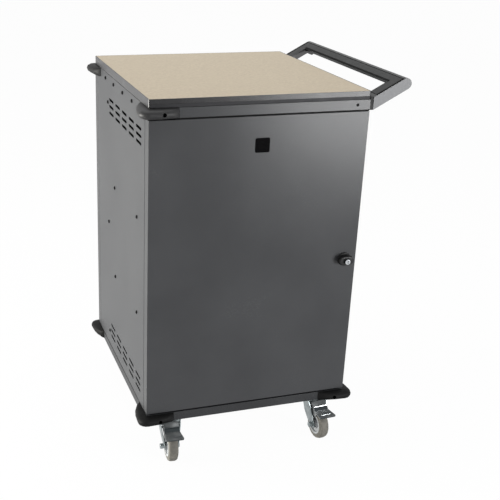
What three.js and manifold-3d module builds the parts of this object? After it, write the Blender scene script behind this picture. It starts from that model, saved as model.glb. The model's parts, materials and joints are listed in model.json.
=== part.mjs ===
// Laptop charging cart: a sheet steel cabinet on four swivel casters, with a lockable door at the
// front and another at the rear, a laminate worktop, corner bumpers and a push handle.
// Millimetres, +Z up, the front faces -Y and the push handle is at +X.

import * as THREE from 'three';
import { mergeVertices } from 'three/addons/utils/BufferGeometryUtils.js';
import Module from 'manifold-3d';

const wasm = await Module();
wasm.setup();

// Cabinet
const cabinetWidth = 532;
const cabinetDepth = 560;
const sheet = 1.5;
const railHeight = 23;
const seam = 0.3;
const jambWidth = 22;
const footFlangeWidth = 20;
const railHoleRadius = 2.5;
const railHoleFromEnd = 32;

// Worktop
const worktopThickness = 20;
const edgeBandThickness = 2;
const edgeBandCornerRadius = 4;
const edgeBandLift = 1.2;

// Doors and their pivots
const doorHeight = 734;
const doorThickness = 30;
const doorGap = 4;
const jambGap = 2;
const doorLip = 15;
const pivotFromSide = 8;
const pivotFromFace = 10;
const pivotPinRadius = 4;
const pivotPinLength = 12;
const pivotWasherRadius = 6.5;
const pivotClearance = 0.3;

// Door lock
const lockFromSide = 32;
const lockRoseRadius = 17;
const lockRoseThickness = 4;
const lockRoseChamfer = 1.5;
const lockKnobLength = 40;
const lockKnobWidth = 24;
const lockKnobThickness = 14;
const lockKnobBevel = 3;
const lockPlugRadius = 7;
const lockPlugReach = 26;
const lockPlugChamfer = 1;
const lockSpigotRadius = 4;
const lockKeySlotWidth = 1.8;
const lockKeySlotHeight = 8;
const lockKeySlotDepth = 5;
const lockCamThickness = 3;
const lockCamWidth = 12;
const lockCamReach = 26;
const lockCamHeadRadius = 8;
const lockClearance = 0.4;

// Vent slots in each side panel
const ventLength = 48;
const ventHeight = 7;
const ventColumns = 5;
const ventRows = 3;
const ventColumnPitch = 70;
const ventRowPitch = 17;
const ventFirstColumnFromFront = 86.5;
const ventUpperRowBelowRailTop = 61;
const ventLowerRowAboveBase = 35;

// Shelves, dividers and the partition in front of the power compartment
const partitionFromFront = 395;
const partitionFlange = 20;
const lowerShelfHeight = 245;
const upperShelfHeight = 493;
const shelfLip = 20;
const shelfGap = 0.5;
const cableSlotLength = 400;
const cableSlotHeight = 26;
const cableSlotAboveLevel = 165;
const slotCount = 8;
const slotPitch = 54;
const dividerThickness = 2.5;
const dividerHeight = 120;
const dividerNoseRadius = 60;
const rackBaseThickness = 2;
const rackFromShelfFront = 14;
const rackFromPartition = 17;

// Power strips and mains inlet
const stripLength = 420;
const stripHeight = 46;
const stripDepth = 38;
const stripChamfer = 5;
const stripAboveLevel = 60;
const outletCount = 8;
const outletPitch = 48;
const outletWidth = 30;
const outletHeight = 32;
const outletRecess = 3;
const inletFlangeWidth = 50;
const inletFlangeHeight = 34;
const inletFlangeThickness = 2;
const inletBodyWidth = 28;
const inletBodyHeight = 24;
const inletBodyDepth = 26;
const inletSocketWidth = 24;
const inletSocketHeight = 17;
const inletSocketDepth = 18;
const inletFromRear = 90;
const inletAboveBase = 70;

// Corner bumpers
const bumperArm = 70;
const bumperTip = 1;
const bumperProud = 23;
const bumperFullness = 2.5;
const bumperScrewFromCorner = 31;
const bumperScrewHoleRadius = 5;
const bumperScrewFloor = 8;

// Push handle
const handleReach = 103;
const handleRootLift = 1.5;
const handleAngle = THREE.MathUtils.degToRad(28);
const handleThickness = 26.5;
const handleArmWidth = 40;
const handleArmEdge = 15;
const handleGripWidth = 40;
const handleGripEdge = 7;
const handleBracketThickness = 8;
const handleBracketInset = 1;
const handleRim = 1.5;
const handleCoverThickness = 4;
const handleCoverGap = 1.4;

// Casters
const casterHeadHeight = 33;
const casterFromSide = 66;
const casterFromFace = 33;
const frontLeftSwivel = THREE.MathUtils.degToRad(-4);
const frontRightSwivel = THREE.MathUtils.degToRad(4);
const rearSwivel = THREE.MathUtils.degToRad(-4);
const casterPlateLength = 90;
const casterPlateWidth = 60;
const casterPlateThickness = 3;
const skirtDrop = 3.5;
const channelThickness = 2.5;
const channelMargin = 1;
const raceRadius = 19;
const kingpinRadius = 11;
const kingpinHeadRadius = 14;
const kingpinHeadThickness = 4;
const kingpinHeadChamfer = 2;
const forkCrownThickness = 12;
const forkCrownHalfLength = 22;
const forkFrontReach = 30;
const forkRearReach = 9;
const forkBowDrop = 70;
const forkThickness = 2.5;
const forkTopDrop = 9;
const forkBossRadius = 11;
const forkSideGap = 3;
const forkSplay = 9.5;
const swivelClearance = 0.4;
const wheelRadius = 40;
const wheelWidth = 25;
const wheelTrail = 36;
const tyreDepth = 12;
const tyreShoulder = 7;
const hubLandGap = 0.5;
const hubLandRadius = 11;
const hubRimDepth = 5;
const hubDish = 5;
const axleRadius = 4;
const axleNutRadius = 7.5;
const axleNutThickness = 10;
const axleHeadThickness = 3;
const axleClearance = 0.4;

// Brake pedal of the two front casters
const pedalPivotForward = 18;
const pedalPivotDrop = 29;
const pedalPinRadius = 3;
const pedalEarThickness = 2.5;
const pedalEarGap = 3;
const pedalPinOverhang = 1.5;
const pedalEarRadius = 7;
const pedalRootForward = 40;
const pedalRootDrop = 20;
const pedalRiserForward = 8;
const pedalRiserDrop = 8;
const pedalRiserWidth = 3.2;
const pedalLipLength = 37;
const pedalApronRun = 14;
const pedalApronRise = 8.5;
const pedalBeadRadius = 2;
const pedalEarLength = 12;
const pedalEarDepth = 18;
const pedalEarSetback = 12;
const pedalThickness = 2.5;
const pedalHalfWidth = 19.5;
const pedalFlare = 4;
const pedalTipRadius = 6;

// Facets of round forms: a quarter or half turn of an outline, then whole turns
const arcFacets = 3;
const slotEndFacets = 2;
const noseFacets = 4;
const bumperArmFacets = 4;
const bumperSectionFacets = 6;
const gripFacets = 4;
const roundFacets = 16;
const pinFacets = 8;
const nutFacets = 6;
const wheelFacets = 20;

// Levels above the floor
const casterHeight = 2 * wheelRadius + casterHeadHeight;
const baseBottom = casterHeight - skirtDrop;
const baseTop = baseBottom + railHeight;
const doorBottom = baseTop + doorGap;
const doorTop = doorBottom + doorHeight;
const topRailBottom = doorTop + doorGap;
const topRailTop = topRailBottom + railHeight;
const worktopTop = topRailTop + worktopThickness;
const levels = { base: baseTop, lower: baseTop + lowerShelfHeight, upper: baseTop + upperShelfHeight };

// Planes of the cabinet
const halfWidth = cabinetWidth / 2;
const halfDepth = cabinetDepth / 2;
const innerHalfWidth = halfWidth - sheet;
const fittedHalfWidth = innerHalfWidth - seam;
const panelFront = -halfDepth + doorThickness + jambGap;
const panelRear = -panelFront;
const shelfFront = panelFront + sheet + shelfGap;
const partitionFront = -halfDepth + partitionFromFront;
const partitionRear = partitionFront + sheet;

// Finishes: colour, roughness, metalness
const finishes = {
  paintedSteel: [0x47484a, 0.42, 0.35],
  innerSteel: [0x5b5d60, 0.5, 0.35],
  laminate: [0xc9bca4, 0.55, 0],
  edgeBand: [0x3b3b3d, 0.5, 0],
  blackRubber: [0x1c1c1d, 0.75, 0],
  handlePaint: [0x4b4c4e, 0.45, 0.2],
  handleCover: [0x343536, 0.6, 0],
  blackPlastic: [0x161617, 0.4, 0],
  greyPlastic: [0x8d8f90, 0.55, 0],
  greyTyre: [0x7d7970, 0.8, 0],
  zinc: [0xb9bdbf, 0.3, 0.9],
  chrome: [0xd5d8da, 0.12, 1],
};

const cart = new THREE.Group();
cart.name = 'laptop_charging_cart';

function addPiece(parent, name, geometry, finish) {
  const [color, roughness, metalness] = finishes[finish];
  const mesh = new THREE.Mesh(geometry, new THREE.MeshStandardMaterial({ color, roughness, metalness }));
  mesh.name = name;
  parent.add(mesh);
}

// Joining and cutting of closed geometries

function toSolid(geometry) {
  const bare = geometry.clone();
  bare.deleteAttribute('normal');
  bare.deleteAttribute('uv');
  const merged = mergeVertices(bare);
  return new wasm.Manifold(new wasm.Mesh({
    numProp: 3,
    vertProperties: Float32Array.from(merged.attributes.position.array),
    triVerts: Uint32Array.from(merged.index.array),
  }));
}

function toGeometry(solid) {
  const mesh = solid.getMesh();
  const geometry = new THREE.BufferGeometry();
  geometry.setAttribute('position', new THREE.BufferAttribute(mesh.vertProperties, 3));
  geometry.setIndex(new THREE.BufferAttribute(mesh.triVerts, 1));
  geometry.computeVertexNormals();
  return geometry;
}

function fuse(...geometries) {
  return toGeometry(geometries.map(toSolid).reduce((whole, next) => whole.add(next)));
}

function cut(geometry, ...tools) {
  return toGeometry(tools.map(toSolid).reduce((rest, tool) => rest.subtract(tool), toSolid(geometry)));
}

function mirrored(geometry, signX, signY) {
  const copy = geometry.clone().scale(signX, signY, 1);
  if (signX * signY < 0) {
    const index = copy.index.array;
    for (let i = 0; i < index.length; i += 3) {
      [index[i], index[i + 1]] = [index[i + 1], index[i]];
    }
  }
  copy.computeVertexNormals();
  return copy;
}

// Basic closed forms

function box(x0, x1, y0, y1, z0, z1) {
  const geometry = new THREE.BoxGeometry(x1 - x0, y1 - y0, z1 - z0);
  return geometry.translate((x0 + x1) / 2, (y0 + y1) / 2, (z0 + z1) / 2);
}

// A shape drawn in the plane across an axis, made solid from start to end along that axis. It is drawn
// in y and z for axis x, in x and z for axis y, and in x and y for axis z.
function prism(axis, shape, start, end, options = {}) {
  const extrusion = new THREE.ExtrudeGeometry(shape, {
    depth: end - start,
    bevelEnabled: false,
    curveSegments: arcFacets,
    ...options,
  });
  const right = new THREE.Vector3(1, 0, 0);
  const back = new THREE.Vector3(0, 1, 0);
  const up = new THREE.Vector3(0, 0, 1);
  const turn = new THREE.Matrix4();
  if (axis === 'x') {
    turn.makeBasis(back, up, right);
    return extrusion.translate(0, 0, start).applyMatrix4(turn);
  }
  if (axis === 'y') {
    turn.makeBasis(right, up, back.negate());
    return extrusion.translate(0, 0, -end).applyMatrix4(turn);
  }
  return extrusion.translate(0, 0, start);
}

function cylinder(axis, radius, start, end, segments = roundFacets) {
  const geometry = new THREE.CylinderGeometry(radius, radius, end - start, segments);
  geometry.translate(0, (start + end) / 2, 0);
  if (axis === 'x') {
    return geometry.rotateZ(-Math.PI / 2);
  }
  if (axis === 'z') {
    return geometry.rotateX(Math.PI / 2);
  }
  return geometry;
}

// A profile of [radius, height] points turned about the z axis, listed from the lowest point upwards
function turned(profile, segments = roundFacets) {
  const points = profile.map(([radius, height]) => new THREE.Vector2(radius, height));
  const lathe = new THREE.LatheGeometry(points, segments).rotateX(Math.PI / 2);
  return toGeometry(toSolid(lathe));
}

function polygon(points) {
  return new THREE.Shape(points.map(([u, v]) => new THREE.Vector2(u, v)));
}

function roundedRectangle(u0, u1, v0, v1, radius) {
  const shape = new THREE.Shape();
  shape.absarc(u1 - radius, v0 + radius, radius, -Math.PI / 2, 0);
  shape.absarc(u1 - radius, v1 - radius, radius, 0, Math.PI / 2);
  shape.absarc(u0 + radius, v1 - radius, radius, Math.PI / 2, Math.PI);
  shape.absarc(u0 + radius, v0 + radius, radius, Math.PI, 1.5 * Math.PI);
  shape.closePath();
  return shape;
}

// A bar with two round ends, lying along u
function stadium(u, v, length, width) {
  const reach = (length - width) / 2;
  const shape = new THREE.Shape();
  shape.absarc(u + reach, v, width / 2, -Math.PI / 2, Math.PI / 2);
  shape.absarc(u - reach, v, width / 2, Math.PI / 2, 1.5 * Math.PI);
  shape.closePath();
  return shape;
}

// A closed skin over a row of rings, each with the same number of points, filled in at both ends
function loft(rings) {
  const count = rings[0].length;
  const last = (rings.length - 1) * count;
  const faces = [];
  for (let ring = 0; ring < rings.length - 1; ring += 1) {
    for (let i = 0; i < count; i += 1) {
      const here = ring * count + i;
      const beside = ring * count + ((i + 1) % count);
      faces.push([here, beside, beside + count], [here, beside + count, here + count]);
    }
  }
  for (let i = 1; i < count - 1; i += 1) {
    faces.push([0, i + 1, i], [last, last + i, last + i + 1]);
  }
  const skin = new THREE.BufferGeometry();
  skin.setAttribute('position', new THREE.Float32BufferAttribute(rings.flat(2), 3));
  skin.setIndex(faces.flat());
  const merged = mergeVertices(skin);
  const corners = Array.from(merged.index.array);
  const whole = [];
  for (let i = 0; i < corners.length; i += 3) {
    const face = corners.slice(i, i + 3);
    if (new Set(face).size === 3) {
      whole.push(...face);
    }
  }
  merged.setIndex(whole);
  return merged;
}

// The angle at which a line from a point touches a circle; the sign chooses between its two sides
function touchAngle(centre, radius, point, sign) {
  const spoke = point.clone().sub(centre);
  return spoke.angle() + sign * Math.acos(radius / spoke.length());
}

// Cabinet shell

function addBase() {
  const outer = box(-halfWidth, halfWidth, -halfDepth, halfDepth, baseBottom, baseTop);
  const hollow = box(
    -innerHalfWidth, innerHalfWidth, -halfDepth + sheet, halfDepth - sheet, baseBottom - sheet,
    baseTop - sheet);
  addPiece(cart, 'base_pan', cut(outer, hollow), 'paintedSteel');

  const halfChannel = casterPlateWidth / 2 + channelMargin;
  const floor = baseTop - sheet;
  for (const [name, y] of [['front', -halfDepth + casterFromFace], ['rear', halfDepth - casterFromFace]]) {
    const bar = box(-fittedHalfWidth, fittedHalfWidth, y - halfChannel, y + halfChannel, casterHeight, floor);
    const inside = halfChannel - channelThickness;
    const groove = box(
      -halfWidth, halfWidth, y - inside, y + inside, casterHeight + channelThickness, floor + sheet);
    addPiece(cart, `caster_channel_${name}`, cut(bar, groove), 'innerSteel');
  }
}

function addTopPan() {
  const deck = box(
    -fittedHalfWidth, fittedHalfWidth, -halfDepth, halfDepth, topRailTop - sheet, topRailTop);
  const pieces = [deck];
  for (const side of [-1, 1]) {
    const outerFace = side * halfDepth;
    const innerFace = side * (halfDepth - doorThickness);
    const low = Math.min(outerFace, innerFace);
    const high = Math.max(outerFace, innerFace);
    const rail = box(-halfWidth, halfWidth, low, high, topRailBottom, topRailTop);
    const hollow = box(
      -innerHalfWidth, innerHalfWidth, low + (side < 0 ? sheet : -sheet), high + (side < 0 ? sheet : -sheet),
      topRailBottom + sheet, topRailTop - sheet);
    pieces.push(cut(rail, hollow));
    const flange = box(
      fittedHalfWidth - sheet, fittedHalfWidth, -halfDepth + doorThickness - sheet,
      halfDepth - doorThickness + sheet, topRailBottom, topRailTop);
    pieces.push(side > 0 ? flange : mirrored(flange, -1, 1));
  }
  const railHole = cylinder('y', railHoleRadius, -halfDepth - sheet, -halfDepth + 2 * sheet, pinFacets);
  railHole.translate(halfWidth - railHoleFromEnd, 0, (topRailBottom + topRailTop) / 2);
  addPiece(cart, 'top_pan', cut(fuse(...pieces), railHole), 'paintedSteel');
}

// A side panel is drawn for the right side: a slotted web with a jamb turned in at the front and rear
// and a foot flange on the base
function sidePanel() {
  const vents = [];
  const rowsAt = [topRailTop - ventUpperRowBelowRailTop, baseTop + ventLowerRowAboveBase];
  const rowSteps = [-ventRowPitch, ventRowPitch];
  rowsAt.forEach((firstRow, bank) => {
    for (let row = 0; row < ventRows; row += 1) {
      for (let column = 0; column < ventColumns; column += 1) {
        const y = -halfDepth + ventFirstColumnFromFront + column * ventColumnPitch;
        const slot = stadium(y, firstRow + row * rowSteps[bank], ventLength, ventHeight);
        const options = { curveSegments: slotEndFacets };
        vents.push(prism('x', slot, innerHalfWidth - sheet, halfWidth + sheet, options));
      }
    }
  });
  const jambTop = topRailBottom - seam;
  const jambInner = halfWidth - jambWidth;
  return fuse(
    cut(box(innerHalfWidth, halfWidth, panelFront, panelRear, baseTop, topRailTop), ...vents),
    box(jambInner, halfWidth, panelFront, panelFront + sheet, baseTop, jambTop),
    box(jambInner, halfWidth, panelRear - sheet, panelRear, baseTop, jambTop),
    box(halfWidth - footFlangeWidth, halfWidth, panelFront, panelRear, baseTop, baseTop + sheet));
}

function addSidePanels() {
  const panel = sidePanel();
  addPiece(cart, 'left_side_panel', mirrored(panel, -1, 1), 'paintedSteel');

  const inletY = halfDepth - inletFromRear;
  const inletZ = baseTop + inletAboveBase;
  const inletHole = box(
    innerHalfWidth - sheet, halfWidth + sheet, inletY - inletBodyWidth / 2 - seam,
    inletY + inletBodyWidth / 2 + seam, inletZ - inletBodyHeight / 2 - seam,
    inletZ + inletBodyHeight / 2 + seam);
  addPiece(cart, 'right_side_panel', cut(panel, inletHole), 'paintedSteel');

  const face = halfWidth + seam;
  const flange = prism(
    'x', stadium(inletY, inletZ, inletFlangeWidth, inletFlangeHeight), face, face + inletFlangeThickness);
  const body = box(
    face - inletBodyDepth, face + inletFlangeThickness / 2, inletY - inletBodyWidth / 2,
    inletY + inletBodyWidth / 2, inletZ - inletBodyHeight / 2, inletZ + inletBodyHeight / 2);
  const socketEnd = face + inletFlangeThickness - inletSocketDepth;
  const socket = box(
    socketEnd, face + 2 * inletFlangeThickness, inletY - inletSocketWidth / 2, inletY + inletSocketWidth / 2,
    inletZ - inletSocketHeight / 2, inletZ + inletSocketHeight / 2);
  addPiece(cart, 'power_inlet', cut(fuse(flange, body), socket), 'blackPlastic');
}

function addWorktop() {
  const boardHalfWidth = halfWidth - edgeBandThickness;
  const boardHalfDepth = halfDepth - edgeBandThickness;
  addPiece(
    cart, 'worktop_board',
    box(-boardHalfWidth, boardHalfWidth, -boardHalfDepth, boardHalfDepth, topRailTop, worktopTop),
    'laminate');

  const band = roundedRectangle(-halfWidth, halfWidth, -halfDepth, halfDepth, edgeBandCornerRadius);
  const inside = box(
    -boardHalfWidth, boardHalfWidth, -boardHalfDepth, boardHalfDepth, topRailTop - sheet, worktopTop + sheet);
  const bandBlank = prism('z', band, topRailTop + edgeBandLift, worktopTop);
  addPiece(cart, 'worktop_edge_band', cut(bandBlank, inside), 'edgeBand');
}

// Inside: partition, shelves, divider racks and power strips

function addPartition() {
  const footZ = baseTop + sheet;
  const shoulderZ = topRailBottom - seam;
  const deckZ = topRailTop - sheet - seam;
  const neckHalfWidth = fittedHalfWidth - sheet - seam;
  const wall = polygon([
    [-fittedHalfWidth, footZ], [fittedHalfWidth, footZ], [fittedHalfWidth, shoulderZ],
    [neckHalfWidth, shoulderZ], [neckHalfWidth, deckZ], [-neckHalfWidth, deckZ],
    [-neckHalfWidth, shoulderZ], [-fittedHalfWidth, shoulderZ],
  ]);
  const cableSlots = Object.values(levels).map((level) => prism(
    'y', stadium(0, level + cableSlotAboveLevel, cableSlotLength, cableSlotHeight), partitionFront - sheet,
    partitionRear + sheet));
  const flange = box(
    fittedHalfWidth - sheet, fittedHalfWidth, partitionFront, partitionFront + partitionFlange, footZ,
    shoulderZ);
  addPiece(
    cart, 'rear_partition',
    fuse(
      cut(prism('y', wall, partitionFront, partitionRear), ...cableSlots), flange, mirrored(flange, -1, 1)),
    'innerSteel');
}

function addShelf(name, level) {
  const back = partitionFront - seam;
  const tray = box(-fittedHalfWidth, fittedHalfWidth, shelfFront, back, level - shelfLip, level);
  const hollow = box(
    -fittedHalfWidth + sheet, fittedHalfWidth - sheet, shelfFront + sheet, back - sheet,
    level - shelfLip - sheet, level - sheet);
  addPiece(cart, name, cut(tray, hollow), 'innerSteel');
}

function addDividerRack(name, level) {
  const front = shelfFront + rackFromShelfFront;
  const back = partitionFront - rackFromPartition;
  const rackHalfWidth = (slotCount * slotPitch + dividerThickness) / 2;
  const crest = level + dividerHeight;
  const fin = new THREE.Shape();
  fin.moveTo(front, level);
  fin.lineTo(back, level);
  fin.lineTo(back, crest);
  fin.lineTo(front + dividerNoseRadius, crest);
  fin.absarc(
    front + dividerNoseRadius, crest - dividerNoseRadius, dividerNoseRadius, Math.PI / 2, Math.PI);
  fin.closePath();
  const pieces = [box(-rackHalfWidth, rackHalfWidth, front, back, level, level + rackBaseThickness)];
  for (let i = 0; i <= slotCount; i += 1) {
    const x = -rackHalfWidth + i * slotPitch;
    pieces.push(prism('x', fin, x, x + dividerThickness, { curveSegments: slotEndFacets }));
  }
  addPiece(cart, name, fuse(...pieces), 'greyPlastic');
}

function addPowerStrip(name, level) {
  const bottom = level + stripAboveLevel;
  const top = bottom + stripHeight;
  const rear = partitionRear + stripDepth;
  const section = polygon([
    [partitionRear, bottom], [rear - stripChamfer, bottom], [rear, bottom + stripChamfer],
    [rear, top - stripChamfer], [rear - stripChamfer, top], [partitionRear, top],
  ]);
  const middle = (bottom + top) / 2;
  const recesses = [];
  for (let i = 0; i < outletCount; i += 1) {
    const x = (i - (outletCount - 1) / 2) * outletPitch;
    recesses.push(box(
      x - outletWidth / 2, x + outletWidth / 2, rear - outletRecess, rear + outletRecess,
      middle - outletHeight / 2, middle + outletHeight / 2));
  }
  const blank = prism('x', section, -stripLength / 2, stripLength / 2);
  addPiece(cart, name, cut(blank, ...recesses), 'blackPlastic');
}

// Corner bumpers, drawn for a corner with the cabinet towards +x and +y: a rounded section that stands
// proud round the corner and runs out along each arm

function bumper() {
  const arm = [];
  for (let i = 0; i <= bumperArmFacets; i += 1) {
    const angle = (i / bumperArmFacets) * (Math.PI / 2);
    const proud = THREE.MathUtils.lerp(bumperTip, bumperProud, Math.sin(angle));
    arm.push(new THREE.Vector2(bumperArm * Math.cos(angle), -proud));
  }
  const nose = [];
  for (let i = 1; i < noseFacets; i += 1) {
    const angle = (i / noseFacets) * (Math.PI / 2);
    nose.push(new THREE.Vector2(-Math.sin(angle), -Math.cos(angle)).multiplyScalar(bumperProud));
  }
  const sideArm = arm.map((point) => new THREE.Vector2(point.y, point.x)).reverse();
  const outside = [...arm, ...nose, ...sideArm];

  const squared = (value) => Math.sign(value) * Math.abs(value) ** (2 / bumperFullness);
  const section = [];
  for (let i = 0; i <= bumperSectionFacets; i += 1) {
    const angle = Math.PI * (i / bumperSectionFacets - 0.5);
    section.push([squared(Math.cos(angle)), (railHeight / 2) * (1 + squared(Math.sin(angle)))]);
  }
  const rings = outside.map((outer) => {
    const inner = new THREE.Vector2(Math.max(outer.x, -seam), Math.max(outer.y, -seam));
    if (outer.x > outer.y) {
      inner.y = -seam;
    } else {
      inner.x = -seam;
    }
    return section.map(([share, z]) => {
      const place = inner.clone().lerp(outer, share);
      return [place.x, place.y, z];
    });
  });
  const screwHole = cylinder('y', bumperScrewHoleRadius, -bumperArm, -bumperScrewFloor, pinFacets);
  screwHole.translate(bumperScrewFromCorner, 0, railHeight / 2);
  return cut(loft(rings), screwHole);
}

function addBumpers() {
  const drawn = bumper();
  const corners = [
    ['base_bumper_front_left', -1, -1, baseBottom], ['base_bumper_front_right', 1, -1, baseBottom],
    ['base_bumper_rear_left', -1, 1, baseBottom], ['base_bumper_rear_right', 1, 1, baseBottom],
    ['top_bumper_front_left', -1, -1, topRailBottom], ['top_bumper_rear_left', -1, 1, topRailBottom],
  ];
  for (const [name, sideX, sideY, bottom] of corners) {
    const moulding = mirrored(drawn, -sideX, -sideY);
    moulding.translate(sideX * halfWidth, sideY * halfDepth, bottom);
    addPiece(cart, name, moulding, 'blackRubber');
  }
}

// Push handle: a U of two rising arms and a grip bar, all thinner towards the inside, with a cover let into
// the upper face

function addHandle() {
  const root = halfWidth + handleBracketThickness + seam;
  const rootMiddle = (topRailBottom + topRailTop) / 2 + handleRootLift;
  const halfThickness = handleThickness / 2;
  const tipRun = (halfWidth + handleReach - halfThickness - root) / Math.cos(handleAngle);
  const gripRun = tipRun + halfThickness - handleGripWidth;
  const rootHalfHeight = halfThickness / Math.cos(handleAngle);

  const along = (run, lift) => [
    root + run * Math.cos(handleAngle) - lift * Math.sin(handleAngle),
    rootMiddle + run * Math.sin(handleAngle) + lift * Math.cos(handleAngle),
  ];
  const roundTip = (shape) => {
    const [x, z] = along(tipRun, 0);
    shape.lineTo(...along(tipRun, -halfThickness));
    shape.absarc(x, z, halfThickness, handleAngle - Math.PI / 2, handleAngle + Math.PI / 2);
  };
  const strip = (run0, run1, lift0, lift1) => polygon(
    [along(run0, lift0), along(run1, lift0), along(run1, lift1), along(run0, lift1)]);

  const armProfile = new THREE.Shape();
  armProfile.moveTo(root, rootMiddle - rootHalfHeight);
  roundTip(armProfile);
  armProfile.lineTo(root, rootMiddle + rootHalfHeight);
  armProfile.closePath();
  const gripProfile = new THREE.Shape();
  gripProfile.moveTo(...along(gripRun, halfThickness - handleGripEdge));
  roundTip(gripProfile);
  gripProfile.lineTo(...along(gripRun, halfThickness));
  gripProfile.closePath();

  const armStart = halfDepth - handleArmWidth;
  const options = { curveSegments: gripFacets };
  const taperProfile = polygon([
    [halfDepth, -halfThickness], [armStart, halfThickness - handleArmEdge],
    [armStart - seam, halfThickness - handleArmEdge], [armStart - seam, -handleThickness],
    [halfDepth, -handleThickness],
  ]);
  // The taper of an arm ends where the underside of the grip is as low
  const taperShare = (handleArmEdge - handleGripEdge) / (handleThickness - handleGripEdge);
  const taperRun = gripRun + taperShare * (tipRun - gripRun);
  const taper = prism('x', taperProfile, -halfThickness, taperRun).rotateY(-handleAngle);
  taper.translate(root, 0, rootMiddle);
  const rearArm = cut(prism('y', armProfile, armStart, halfDepth, options), taper);
  const frontArm = mirrored(rearArm, 1, -1);
  const grip = prism('y', gripProfile, -armStart - handleRim, armStart + handleRim, options);

  // A U-shaped layer below the upper face, set in from the rim of the shell by a margin
  const layer = (margin, floor, ceiling) => {
    const inset = handleRim + margin;
    const armLayer = strip(rootHalfHeight + inset, tipRun - margin, floor, ceiling);
    const gripLayer = strip(gripRun + inset, tipRun - margin, floor, ceiling);
    return fuse(
      prism('y', armLayer, -halfDepth + inset, -armStart - inset),
      prism('y', armLayer, armStart + inset, halfDepth - inset),
      prism('y', gripLayer, -halfDepth + inset, halfDepth - inset));
  };
  const recessFloor = halfThickness - handleCoverThickness;
  const recess = layer(0, recessFloor, halfThickness + handleCoverThickness);
  addPiece(cart, 'handle_shell', cut(fuse(frontArm, rearArm, grip), recess), 'handlePaint');
  addPiece(cart, 'handle_cover', layer(handleCoverGap, recessFloor + seam, halfThickness), 'handleCover');

  for (const [name, side] of [['front', -1], ['rear', 1]]) {
    const y0 = armStart + handleBracketInset;
    const y1 = halfDepth - handleBracketInset;
    const low = Math.min(side * y0, side * y1);
    const high = Math.max(side * y0, side * y1);
    addPiece(
      cart, `handle_bracket_${name}`,
      box(halfWidth, root - seam, low, high, rootMiddle - rootHalfHeight, rootMiddle + rootHalfHeight),
      'handleCover');
  }
}

// A door with its pivot pins and lock, drawn at the front with its pivots on the left

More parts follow.
